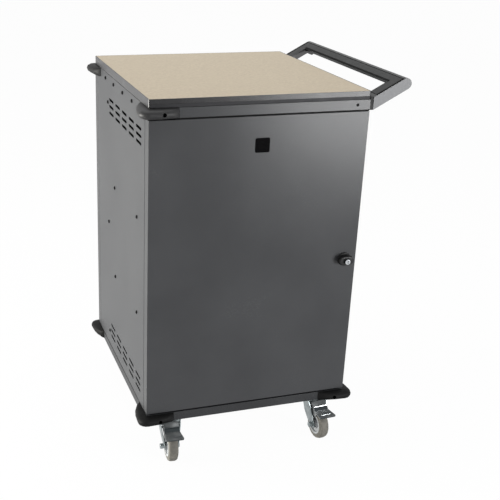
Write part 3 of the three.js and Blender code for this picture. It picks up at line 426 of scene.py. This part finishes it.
def soft_shading():
    """A modifier group that shades faces smoothly across edges that turn less than an angle."""
    group = bpy.data.node_groups.new("soft_shading", "GeometryNodeTree")
    group.is_modifier = True
    group.interface.new_socket("Geometry", in_out="INPUT", socket_type="NodeSocketGeometry")
    group.interface.new_socket("Geometry", in_out="OUTPUT", socket_type="NodeSocketGeometry")
    source = group.nodes.new("NodeGroupInput")
    angle = group.nodes.new("GeometryNodeInputMeshEdgeAngle")
    sharp = group.nodes.new("FunctionNodeCompare")
    sharp.data_type = "FLOAT"
    sharp.operation = "GREATER_THAN"
    sharp.inputs["B"].default_value = SHADE_ANGLE
    normal = group.nodes.new("GeometryNodeSetMeshNormal")
    normal.mode = "SHARPNESS"
    normal.inputs["Remove Custom"].default_value = True
    normal.inputs["Face Sharpness"].default_value = False
    target = group.nodes.new("NodeGroupOutput")
    group.links.new(angle.outputs["Unsigned Angle"], sharp.inputs["A"])
    group.links.new(source.outputs["Geometry"], normal.inputs["Mesh"])
    group.links.new(sharp.outputs["Result"], normal.inputs["Edge Sharpness"])
    group.links.new(normal.outputs["Mesh"], target.inputs["Geometry"])
    return group


SOFT_SHADING = soft_shading()
EDGE_RADII = {
    "painted_steel": 0.6, "inner_steel": 0.4, "laminate": 0.3, "edge_band": 1.0, "black_rubber": 0.0,
    "handle_paint": 0.9, "handle_cover": 0.8, "black_plastic": 0.5, "grey_plastic": 0.5, "grey_tyre": 0.6,
    "zinc": 0.4, "chrome": 0.2,
}


def soften(item, radius, merge_flat=False):
    """Joins the facets of a mesh, rounds its sharp edges and shades it smoothly."""
    weld = item.modifiers.new("weld", "WELD")
    weld.merge_threshold = WELD_DISTANCE
    if merge_flat:
        flat = item.modifiers.new("whole_faces", "DECIMATE")
        flat.decimate_type = "DISSOLVE"
        flat.angle_limit = FLAT_ANGLE
    if radius > 0:
        bevel = item.modifiers.new("rounded_edges", "BEVEL")
        bevel.width = radius * MM
        bevel.segments = 2
        bevel.limit_method = "ANGLE"
        bevel.angle_limit = BEVEL_ANGLE
        bevel.use_clamp_overlap = True
    shading = item.modifiers.new("soft_shading", "NODES")
    shading.node_group = SOFT_SHADING
    flatten = item.modifiers.new("flat_faces", "WEIGHTED_NORMAL")
    flatten.keep_sharp = True
    flatten.weight = 100


for row in frame["record"]["subparts"]:
    solid = nodes[row["node"]]
    slot = row["material_slot"]
    solid.material_slots[0].material = finish_of(row["node"], slot)
    soften(solid, EDGE_RADII[slot], merge_flat=row["node"] == "handle_shell")


# Shapes of small fittings, as vertices and faces about the z axis

def turned(profile, steps=24):
    """A profile of (radius, height) pairs turned about z; it starts and ends on the axis."""
    points = [(0.0, 0.0, profile[0][1])]
    for radius, height in profile[1:-1]:
        for step in range(steps):
            angle = 2 * math.pi * (step + 0.5) / steps
            points.append((radius * math.cos(angle), radius * math.sin(angle), height))
    points.append((0.0, 0.0, profile[-1][1]))
    faces = []
    last = len(points) - 1
    for step in range(steps):
        following = (step + 1) % steps
        faces.append((0, 1 + following, 1 + step))
        for ring in range(len(profile) - 3):
            low = 1 + ring * steps
            high = low + steps
            faces.append((low + step, low + following, high + following, high + step))
        faces.append((last, last - steps + step, last - steps + following))
    return points, faces


def slab(outline, low, high):
    """A flat outline, listed anticlockwise, made solid from low to high."""
    count = len(outline)
    points = [(x, y, low) for x, y in outline] + [(x, y, high) for x, y in outline]
    faces = [tuple(reversed(range(count))), tuple(range(count, 2 * count))]
    for i in range(count):
        following = (i + 1) % count
        faces.append((i, following, count + following, count + i))
    return points, faces


def rounded_outline(width, height, radius, steps=5):
    """A rectangle about the origin with round corners."""
    outline = []
    for quarter, (sign_x, sign_y) in enumerate(((1, -1), (1, 1), (-1, 1), (-1, -1))):
        for step in range(steps + 1):
            angle = math.pi / 2 * (quarter - 1 + step / steps)
            outline.append((
                sign_x * (width / 2 - radius) + radius * math.cos(angle),
                sign_y * (height / 2 - radius) + radius * math.sin(angle)))
    return outline


def cross_screw(radius, height):
    """A domed screw head with a cross recess, standing on z = 0."""
    steps = 32
    rings = (0.12, 0.24, 0.36, 0.48, 0.6, 0.8, 0.94, 1.0)
    arm_half_width = 0.13 * radius
    arm_reach = 0.56 * radius
    points = [(0.0, 0.0, 0.35 * height)]
    for share in rings:
        for step in range(steps):
            angle = 2 * math.pi * step / steps
            x = share * radius * math.cos(angle)
            y = share * radius * math.sin(angle)
            z = height * (1 - 0.55 * share ** 4)
            inside = min(abs(x), abs(y)) < arm_half_width and share * radius < arm_reach
            points.append((x, y, 0.35 * height if inside else z))
    for step in range(steps):
        angle = 2 * math.pi * step / steps
        points.append((radius * math.cos(angle), radius * math.sin(angle), 0.0))
    base = len(points)
    points.append((0.0, 0.0, 0.0))
    faces = []
    for step in range(steps):
        following = (step + 1) % steps
        faces.append((0, 1 + step, 1 + following))
        for ring in range(len(rings)):
            inner = 1 + ring * steps
            outer = inner + steps
            faces.append((inner + step, outer + step, outer + following, inner + following))
        rim = 1 + len(rings) * steps
        faces.append((base, rim + following, rim + step))
    return points, faces


def circle(radius, steps=24):
    return [
        (radius * math.cos(2 * math.pi * i / steps), radius * math.sin(2 * math.pi * i / steps))
        for i in range(steps)]


def hexagon(flat_radius, steps=24):
    """A hexagon given by the distance of its flats, with points added along them."""
    outline = []
    for i in range(steps):
        angle = 2 * math.pi * i / steps
        corner_turn = (angle + math.pi / 6) % (math.pi / 3) - math.pi / 6
        radius = flat_radius / math.cos(corner_turn)
        outline.append((radius * math.cos(angle), radius * math.sin(angle)))
    return outline


def joined(*shapes):
    """Several shapes as one."""
    points, faces = [], []
    for shape_points, shape_faces in shapes:
        first = len(points)
        points += shape_points
        faces += [tuple(first + i for i in face) for face in shape_faces]
    return points, faces


def pierced(outline, holes, floor, low, high):
    """A slab whose upper face has holes that go down to a floor; the outline runs anticlockwise."""
    loops = [outline] + holes
    faces = [tuple(t) for t in tessellate_polygon([[Vector((x, y, 0)) for x, y in loop] for loop in loops])]
    points = [(x, y, high) for loop in loops for x, y in loop]
    faces = [upward(points, face) for face in faces]
    first = 0
    for loop, bottom in zip(loops, [low] + [floor] * len(holes)):
        count = len(loop)
        lower = len(points)
        points += [(x, y, bottom) for x, y in loop]
        for i in range(count):
            following = (i + 1) % count
            wall = (first + i, lower + i, lower + following, first + following)
            faces.append(wall if bottom == low else tuple(reversed(wall)))
        base = tuple(range(lower, lower + count))
        faces.append(tuple(reversed(base)) if bottom == low else base)
        first += count
    return points, faces


def upward(points, face):
    """The face, turned over where it would look down."""
    a, b, c = (Vector(points[i]) for i in face)
    return face if (b - a).cross(c - a).z > 0 else tuple(reversed(face))


def ring(inner, outline, low, high):
    """A flat outline with a round hole through it."""
    count = len(outline)
    bore = [(inner * x / math.hypot(x, y), inner * y / math.hypot(x, y)) for x, y in outline]
    points = [(x, y, z) for loop, z in ((outline, low), (outline, high), (bore, high), (bore, low)) for x, y in loop]
    faces = []
    for level in range(4):
        near = level * count
        far = (level + 1) % 4 * count
        for i in range(count):
            following = (i + 1) % count
            faces.append((near + i, near + following, far + following, far + i))
    return points, faces


def facing(place, outward):
    """A placement at a point, with z turned to the outward direction."""
    turn = Vector(outward).to_track_quat("Z", "Y").to_matrix().to_4x4()
    return Matrix.Translation(place) @ turn


def fitting(name, shape, placements, body, finish, edge=0.0):
    """One piece made of a shape set down at each placement."""
    points, faces = [], []
    shape_points, shape_faces = shape
    for placement in placements:
        first = len(points)
        points += [placement @ Vector(p) for p in shape_points]
        faces += [tuple(first + i for i in face) for face in shape_faces]
    mesh = bpy.data.meshes.new(name)
    mesh.from_pydata(points, [], faces)
    item = bpy.data.objects.new(name, mesh)
    bpy.context.scene.collection.objects.link(item)
    mesh.materials.append(finish)
    soften(item, edge)
    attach(item, body)
    return item


# Screws of the side panels: distances from the front and above the floor
PANEL_SCREWS = [
    (149.5, 883), (243, 883), (339, 883), (431, 883), (100, 618), (333, 618), (100, 370), (333, 370),
    (405, 826), (405, 502), (405, 176),
]
panel_screw = cross_screw(4.4 * MM, 3.0 * MM)
for side, face, outward in (("left", LEFT, -1), ("right", RIGHT, 1)):
    places = [
        facing((face, FRONT + along * MM, height * MM), (outward, 0, 0)) for along, height in PANEL_SCREWS]
    fitting(f"{side}_panel_screws", panel_screw, places, "cabinet", DARK_SCREW)

# Screws in the holes of the bumpers, which are set in from the corner and stand off the front or rear face
BUMPERS = [
    ("base_bumper_front_left", LEFT, 1, FRONT, -1), ("base_bumper_front_right", RIGHT, -1, FRONT, -1),
    ("base_bumper_rear_left", LEFT, 1, REAR, 1), ("base_bumper_rear_right", RIGHT, -1, REAR, 1),
    ("top_bumper_front_left", LEFT, 1, FRONT, -1), ("top_bumper_rear_left", LEFT, 1, REAR, 1),
]
BUMPER_SCREW_INSET, BUMPER_SCREW_PROUD = 31 * MM, 8 * MM
bumper_screw_places = []
for bumper, side, inward, face, outward in BUMPERS:
    low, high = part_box(bumper)
    bumper_screw_places.append(facing(
        (side + inward * BUMPER_SCREW_INSET, face + outward * BUMPER_SCREW_PROUD, (low.z + high.z) / 2),
        (0, outward, 0)))
fitting(
    "bumper_screws", cross_screw(4.3 * MM, 2.2 * MM), bumper_screw_places, "cabinet", DARK_SCREW)

# Bolts that hold the caster plates
PLATE_BOLT_SPREAD = (36 * MM, 21 * MM)
PLATE_THICKNESS = 3 * MM
plate_bolt = joined(
    slab(circle(6.6 * MM), 0.0, 1.0 * MM), slab(hexagon(4.6 * MM), 1.0 * MM, 4.2 * MM),
    turned([(0, 3.8 * MM), (3.9 * MM, 3.8 * MM), (3.9 * MM, 4.3 * MM), (3.2 * MM, 4.7 * MM), (0, 4.7 * MM)]))
CASTERS = ("front_left", "front_right", "rear_left", "rear_right")
plate_bolt_places = []
for caster in CASTERS:
    low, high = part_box(f"caster_{caster}_plate")
    axis = (low + high) / 2
    for sign_x in (-1, 1):
        for sign_y in (-1, 1):
            plate_bolt_places.append(facing(
                (axis.x + sign_x * PLATE_BOLT_SPREAD[0], axis.y + sign_y * PLATE_BOLT_SPREAD[1],
                 high.z - PLATE_THICKNESS), (0, 0, -1)))
fitting("caster_plate_bolts", plate_bolt, plate_bolt_places, "cabinet", FINISHES["zinc"], edge=0.2)

# Ridge pressed up across the lip of each brake pedal and the bead above its riser, worn bright on the right,
# laid out from the caster's axis and turned with it
RIDGE_LENGTH, RIDGE_WIDTH, RIDGE_HEIGHT = 29 * MM, 6 * MM, 1.2 * MM
RIDGE_FORWARD = 70 * MM
LIP_DROP = 28 * MM
BEAD_DROP, BEAD_FORWARD, BEAD_RADIUS, BEAD_HALF_LENGTH = 20 * MM, 40 * MM, 2.2 * MM, 19 * MM
pedal_bead = turned([
    (0, -BEAD_HALF_LENGTH), (0.7 * BEAD_RADIUS, -BEAD_HALF_LENGTH), (BEAD_RADIUS, 0.5 * MM - BEAD_HALF_LENGTH),
    (BEAD_RADIUS, BEAD_HALF_LENGTH - 0.5 * MM), (0.7 * BEAD_RADIUS, BEAD_HALF_LENGTH), (0, BEAD_HALF_LENGTH)])
pedal_ridge = slab(rounded_outline(RIDGE_LENGTH, RIDGE_WIDTH, 2.9 * MM), -0.2 * MM, RIDGE_HEIGHT)
joints = {joint["name"]: joint for joint in frame["record"]["behaviour"]["joints"]}
for caster, finish in (("front_left", OWN_FINISHES["brake_pedal"]), ("front_right", WORN_ZINC)):
    low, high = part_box(f"caster_{caster}_plate")
    axle = Vector(joints[f"{caster}_wheel_roll"]["axis"])
    turn = math.atan(axle.y / axle.x)
    axis = Matrix.Translation((*((low + high) / 2).xy, high.z)) @ Matrix.Rotation(turn, 4, "Z")
    ridge_place = axis @ Matrix.Translation((0, -RIDGE_FORWARD, -LIP_DROP))
    bead_place = axis @ Matrix.Translation((0, -BEAD_FORWARD, -BEAD_DROP)) @ Matrix.Rotation(math.pi / 2, 4, "Y")
    body = f"{caster}_brake_pedal"
    fitting(f"{caster}_pedal_ridge", pedal_ridge, [ridge_place], body, finish, edge=0.8)
    fitting(f"{caster}_pedal_bead", pedal_bead, [bead_place], body, finish)

# Outlet inserts and a rocker switch on each power strip, which face the rear
OUTLET_COUNT, OUTLET_PITCH, OUTLET_RECESS = 8, 48 * MM, 3 * MM
OUTLET_SIZE = (29.2 * MM, 31.2 * MM)
SWITCH_OFFSET = 196 * MM


def moved(outline, x, y):
    return [(px + x, py + y) for px, py in outline]


outlet = pierced(
    rounded_outline(*OUTLET_SIZE, 2.5 * MM),
    [
        moved(rounded_outline(2.0 * MM, 8.0 * MM, 0.4 * MM, 2), -6.4 * MM, 3.0 * MM),
        moved(rounded_outline(2.0 * MM, 6.6 * MM, 0.4 * MM, 2), 6.4 * MM, 3.0 * MM),
        moved(circle(2.5 * MM, 16), 0.0, -7.5 * MM),
    ],
    0.4 * MM, 0.0, 2.6 * MM)
rocker = joined(
    slab(rounded_outline(14 * MM, 24 * MM, 1.5 * MM), 0.0, 1.4 * MM),
    (
        [(x, y, z) for x in (-4.6 * MM, 4.6 * MM) for y, z in (
            (-9.5 * MM, 1.2 * MM), (9.5 * MM, 1.2 * MM), (9.5 * MM, 4.2 * MM), (0.0, 2.2 * MM), (-9.5 * MM, 2.4 * MM))],
        [(4, 3, 2, 1, 0), (5, 6, 7, 8, 9), (0, 1, 6, 5), (1, 2, 7, 6), (2, 3, 8, 7), (3, 4, 9, 8), (4, 0, 5, 9)],
    ))
OUTLET_FINISH = moulded("outlet_face", "#1d1d1e", "#2a2a2b", 0.4, 1200.0, 0.00004)
for level in ("base", "lower", "upper"):
    low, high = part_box(f"{level}_power_strip")
    middle = (low + high) / 2
    places = [
        facing((middle.x + (i - (OUTLET_COUNT - 1) / 2) * OUTLET_PITCH, high.y - OUTLET_RECESS, middle.z), (0, 1, 0))
        for i in range(OUTLET_COUNT)]
    fitting(f"{level}_outlets", outlet, places, "cabinet", OUTLET_FINISH, edge=0.25)
    switch_place = facing((middle.x - SWITCH_OFFSET, high.y, middle.z), (0, 1, 0))
    fitting(f"{level}_strip_switch", rocker, [switch_place], "cabinet", OUTLET_FINISH, edge=0.4)

# Pins in the mains inlet, which faces the right
inlet_low, inlet_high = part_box("power_inlet")
INLET_SOCKET_DEPTH = 18 * MM
inlet_middle = (inlet_low + inlet_high) / 2
inlet_pin = slab(rounded_outline(2.0 * MM, 4.0 * MM, 0.4 * MM, 2), 0.0, 12.5 * MM)
inlet_floor = inlet_high.x - INLET_SOCKET_DEPTH
fitting(
    "mains_inlet_pins", inlet_pin,
    [facing((inlet_floor, inlet_middle.y + y * MM, inlet_middle.z + z * MM), (1, 0, 0))
     for y, z in ((-7.0, -2.0), (7.0, -2.0), (0.0, 2.6))],
    "cabinet", FINISHES["chrome"], edge=0.3)

# Nut that holds each lock in its door sheet, and rubber buffers on the jamb where the door closes
DOOR_SHEET = 1.5 * MM
LOCK_FROM_SIDE = 32 * MM
JAMB_FROM_FACE = 32 * MM
BUFFER_FROM_SIDE, BUFFER_FROM_END = 7.5 * MM, 70 * MM
lock_nut = ring(7.4 * MM, hexagon(11.5 * MM), 0.0, 4.5 * MM)
buffer = turned([(0, 0), (4.2 * MM, 0), (4.2 * MM, 0.8 * MM), (3.2 * MM, 1.5 * MM), (0, 1.7 * MM)])
for side, lock_x, buffer_x, face, outward in (
        ("front", RIGHT - LOCK_FROM_SIDE, RIGHT - BUFFER_FROM_SIDE, FRONT, -1),
        ("rear", LEFT + LOCK_FROM_SIDE, LEFT + BUFFER_FROM_SIDE, REAR, 1)):
    lock_z = (door_low.z + door_high.z) / 2
    nut_place = facing((lock_x, face - outward * DOOR_SHEET, lock_z), (0, -outward, 0))
    fitting(f"{side}_lock_nut", lock_nut, [nut_place], f"{side}_door", FINISHES["zinc"], edge=0.3)
    places = [
        facing((buffer_x, face - outward * JAMB_FROM_FACE, z), (0, outward, 0))
        for z in (door_low.z + BUFFER_FROM_END, door_high.z - BUFFER_FROM_END)]
    fitting(f"{side}_door_buffers", buffer, places, "cabinet", FINISHES["black_rubber"])

# Dark strip above each door, under the rail of the top: a dark sheet that stands in for the shade in the gap
DOOR_GAP = 4 * MM
GAP_SHADE_CLEARANCE, GAP_SHADE_SETBACK, GAP_SHADE_DEPTH = 0.8 * MM, 0.6 * MM, 7.4 * MM
GAP_SHADE_FROM_PIVOT, GAP_SHADE_FROM_END = 60 * MM, 0.5 * MM
gap_shade_length = RIGHT - LEFT - GAP_SHADE_FROM_PIVOT - GAP_SHADE_FROM_END
door_gap_shade = slab(rounded_outline(gap_shade_length, GAP_SHADE_DEPTH, 1 * MM), GAP_SHADE_CLEARANCE, DOOR_GAP)
gap_shade_inset = GAP_SHADE_SETBACK + GAP_SHADE_DEPTH / 2
for side, middle_x, middle_y in (
        ("front", RIGHT - GAP_SHADE_FROM_END - gap_shade_length / 2, FRONT + gap_shade_inset),
        ("rear", LEFT + GAP_SHADE_FROM_END + gap_shade_length / 2, REAR - gap_shade_inset)):
    place = Matrix.Translation((middle_x, middle_y, door_high.z))
    fitting(f"{side}_door_gap_shade", door_gap_shade, [place], "cabinet", DARK_RUBBER_AND_SHADE_STRIPS)

# Dark strip along the joint between each side panel and the base pan: a dark sheet that stands in for the shade in the
# joint
PANEL_SHADE_STRIP_HEIGHT, PANEL_SHADE_STRIP_DEPTH, PANEL_SHADE_STRIP_PROUD = 3 * MM, 0.3 * MM, 0.15 * MM
panel_low, panel_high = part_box("left_side_panel")
panel_shade_strip_length = panel_high.y - panel_low.y
panel_shade_strip = slab(
    rounded_outline(panel_shade_strip_length, PANEL_SHADE_STRIP_HEIGHT, 0.5 * MM), -PANEL_SHADE_STRIP_DEPTH, PANEL_SHADE_STRIP_PROUD)
panel_middle = (panel_low.y + panel_high.y) / 2
panel_shade_strip_places = [
    facing((face, panel_middle, panel_low.z), (outward, 0, 0)) for face, outward in ((LEFT, -1), (RIGHT, 1))]
fitting("panel_foot_shade_strips", panel_shade_strip, panel_shade_strip_places, "cabinet", DARK_RUBBER_AND_SHADE_STRIPS)

# Dark strip along the foot of the worktop's edge band, at the front and the rear: a dark sheet that stands in for the
# shade under the band
FOOT_HEIGHT, FOOT_INSET, FOOT_DEPTH, FOOT_PROUD = 7 * MM, 3 * MM, 0.5 * MM, 0.4 * MM
band_low, band_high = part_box("worktop_edge_band")
foot_length = band_high.x - band_low.x - 2 * FOOT_INSET
band_foot_shade_strip = slab(rounded_outline(foot_length, FOOT_HEIGHT, 1 * MM), -FOOT_DEPTH, FOOT_PROUD)
foot_middle = ((band_low.x + band_high.x) / 2, BAND_BOTTOM + FOOT_HEIGHT / 2)
foot_places = [
    facing((foot_middle[0], band_low.y, foot_middle[1]), (0, -1, 0)),
    facing((foot_middle[0], band_high.y, foot_middle[1]), (0, 1, 0))]
fitting("band_foot_shade_strip", band_foot_shade_strip, foot_places, "cabinet", FOOT_SHADE_STRIPS)

# Push-in plug with a domed head in the hole of the front rail
RAIL_HOLE_FROM_END, PLUG_SETBACK = 32 * MM, 2.5 * MM
rail_plug = turned([
    (0, 0), (2.3 * MM, 0), (2.3 * MM, 2.5 * MM), (3.6 * MM, 2.5 * MM), (3.6 * MM, 2.9 * MM), (2.6 * MM, 3.5 * MM),
    (0, 3.8 * MM)])
plug_place = (RIGHT - RAIL_HOLE_FROM_END, FRONT + PLUG_SETBACK, RAIL_MIDDLE)
fitting("rail_plug", rail_plug, [facing(plug_place, (0, -1, 0))], "cabinet", DARK_RUBBER_AND_SHADE_STRIPS)

# Dark strips in the grooves of the handle, standing in for the shade in them: along the outer edge of each arm's cover
# and the inner edge of the grip's
SHADE_STRIP_GROOVE, SHADE_STRIP_LAP, SHADE_STRIP_PROUD, SHADE_STRIP_DEPTH = 1.3 * MM, 4.2 * MM, 0.35 * MM, 1.5 * MM
shade_strip_width = SHADE_STRIP_GROOVE + SHADE_STRIP_LAP
shade_strip_offset = (SHADE_STRIP_LAP - SHADE_STRIP_GROOVE) / 2
cover_plane = Matrix.Translation(COVER_ROOT) @ Matrix.Rotation(-HANDLE_ANGLE, 4, "Y")
arm_shade_strip = slab(rounded_outline(COVER_RUN, shade_strip_width, 1 * MM), -SHADE_STRIP_DEPTH, SHADE_STRIP_PROUD)
arm_shade_strip_places = [
    cover_plane @ Matrix.Translation((COVER_RUN / 2, y, 0))
    for y in (cover_low.y + shade_strip_offset, cover_high.y - shade_strip_offset)]
fitting("arm_shade_strips", arm_shade_strip, arm_shade_strip_places, "cabinet", DARK_RUBBER_AND_SHADE_STRIPS)
grip_shade_strip_length = cover_high.y - cover_low.y - 2 * ARM_COVER_WIDTH
grip_shade_strip = slab(rounded_outline(shade_strip_width, grip_shade_strip_length, 1 * MM), -SHADE_STRIP_DEPTH, SHADE_STRIP_PROUD)
grip_shade_strip_place = cover_plane @ Matrix.Translation(
    (COVER_RUN - GRIP_COVER_WIDTH + shade_strip_offset, (cover_low.y + cover_high.y) / 2, 0))
fitting("grip_shade_strip", grip_shade_strip, [grip_shade_strip_place], "cabinet", DARK_RUBBER_AND_SHADE_STRIPS)

# Bare badge plate on the front door
BADGE_WIDTH, BADGE_HEIGHT, BADGE_THICKNESS = 35 * MM, 34 * MM, 1.4 * MM
badge_place = Vector((LEFT + 268.3 * MM, FRONT, 803 * MM))
badge = slab(rounded_outline(BADGE_WIDTH, BADGE_HEIGHT, 3.5 * MM), 0.0, BADGE_THICKNESS)
fitting(
    "badge_plate", badge, [facing(badge_place, (0, -1, 0))], "front_door", BADGE_FINISH,
    edge=0.4)


# Stage and light

def light_paths(tree):
    """1 for rays from the camera, mirrors and glass; 0 for the others."""
    paths = [tree.node("ShaderNodeLightPath", output=f"Is {kind} Ray") for kind in ("Camera", "Glossy", "Transmission")]
    return paths[0] + paths[1] + paths[2]


AMBIENT = 0.36
FLOOR_WHITE_SHARE = 0.97


def add_world():
    world = bpy.data.worlds.new("studio")
    bpy.context.scene.world = world
    world.use_nodes = True
    world.node_tree.nodes.clear()
    tree = Nodes(world.node_tree)
    soft = tree.node("ShaderNodeBackground", {}, {"Color": (1, 1, 1, 1), "Strength": AMBIENT})
    white = tree.node("ShaderNodeBackground", {}, {"Color": (1, 1, 1, 1), "Strength": 1.0})
    shown = tree.node("ShaderNodeMixShader", {}, {0: light_paths(tree), 1: soft, 2: white})
    output = tree.tree.nodes.new("ShaderNodeOutputWorld")
    tree.join(output, {"Surface": shown})


def add_floor():
    material = bpy.data.materials.new("pale_floor")
    material.use_nodes = True
    material.node_tree.nodes.clear()
    tree = Nodes(material.node_tree)
    paper = tree.node("ShaderNodeBsdfDiffuse", {}, {"Color": (0.9, 0.9, 0.9, 1)})
    white = tree.node("ShaderNodeEmission", {}, {"Color": (1, 1, 1, 1), "Strength": 1.0})
    shown = tree.node("ShaderNodeMixShader", {}, {0: light_paths(tree) * FLOOR_WHITE_SHARE, 1: paper, 2: white})
    output = tree.tree.nodes.new("ShaderNodeOutputMaterial")
    tree.join(output, {"Surface": shown})
    reach = 40.0
    mesh = bpy.data.meshes.new("floor")
    mesh.from_pydata(
        [(-reach, -reach, 0), (reach, -reach, 0), (reach, reach, 0), (-reach, reach, 0)], [], [(0, 1, 2, 3)])
    mesh.materials.append(material)
    floor = bpy.data.objects.new("floor", mesh)
    bpy.context.scene.collection.objects.link(floor)


def add_softbox(name, place, target, width, height, watts, colour=(1, 1, 1)):
    lamp = bpy.data.lights.new(name, "AREA")
    lamp.shape = "RECTANGLE"
    lamp.size = width
    lamp.size_y = height
    lamp.energy = watts
    lamp.color = colour
    item = bpy.data.objects.new(name, lamp)
    bpy.context.scene.collection.objects.link(item)
    aim = Vector(target) - Vector(place)
    item.matrix_world = Matrix.Translation(place) @ aim.to_track_quat("-Z", "Y").to_matrix().to_4x4()


add_world()
add_floor()
add_softbox("softbox_over", (-0.3, 0.2, 3.2), (0, 0, 0.6), 2.2, 2.2, 36)
add_softbox("softbox_left", (-2.8, 0.4, 0.43), (0, 0, 0.46), 2.0, 0.86, 148, (1, 0.985, 0.93))
add_softbox("softbox_right", (1.38, -2.35, 0.60), (0.22, -0.28, 0.85), 0.92, 0.92, 48)
bpy.context.scene.view_settings.view_transform = "Standard"
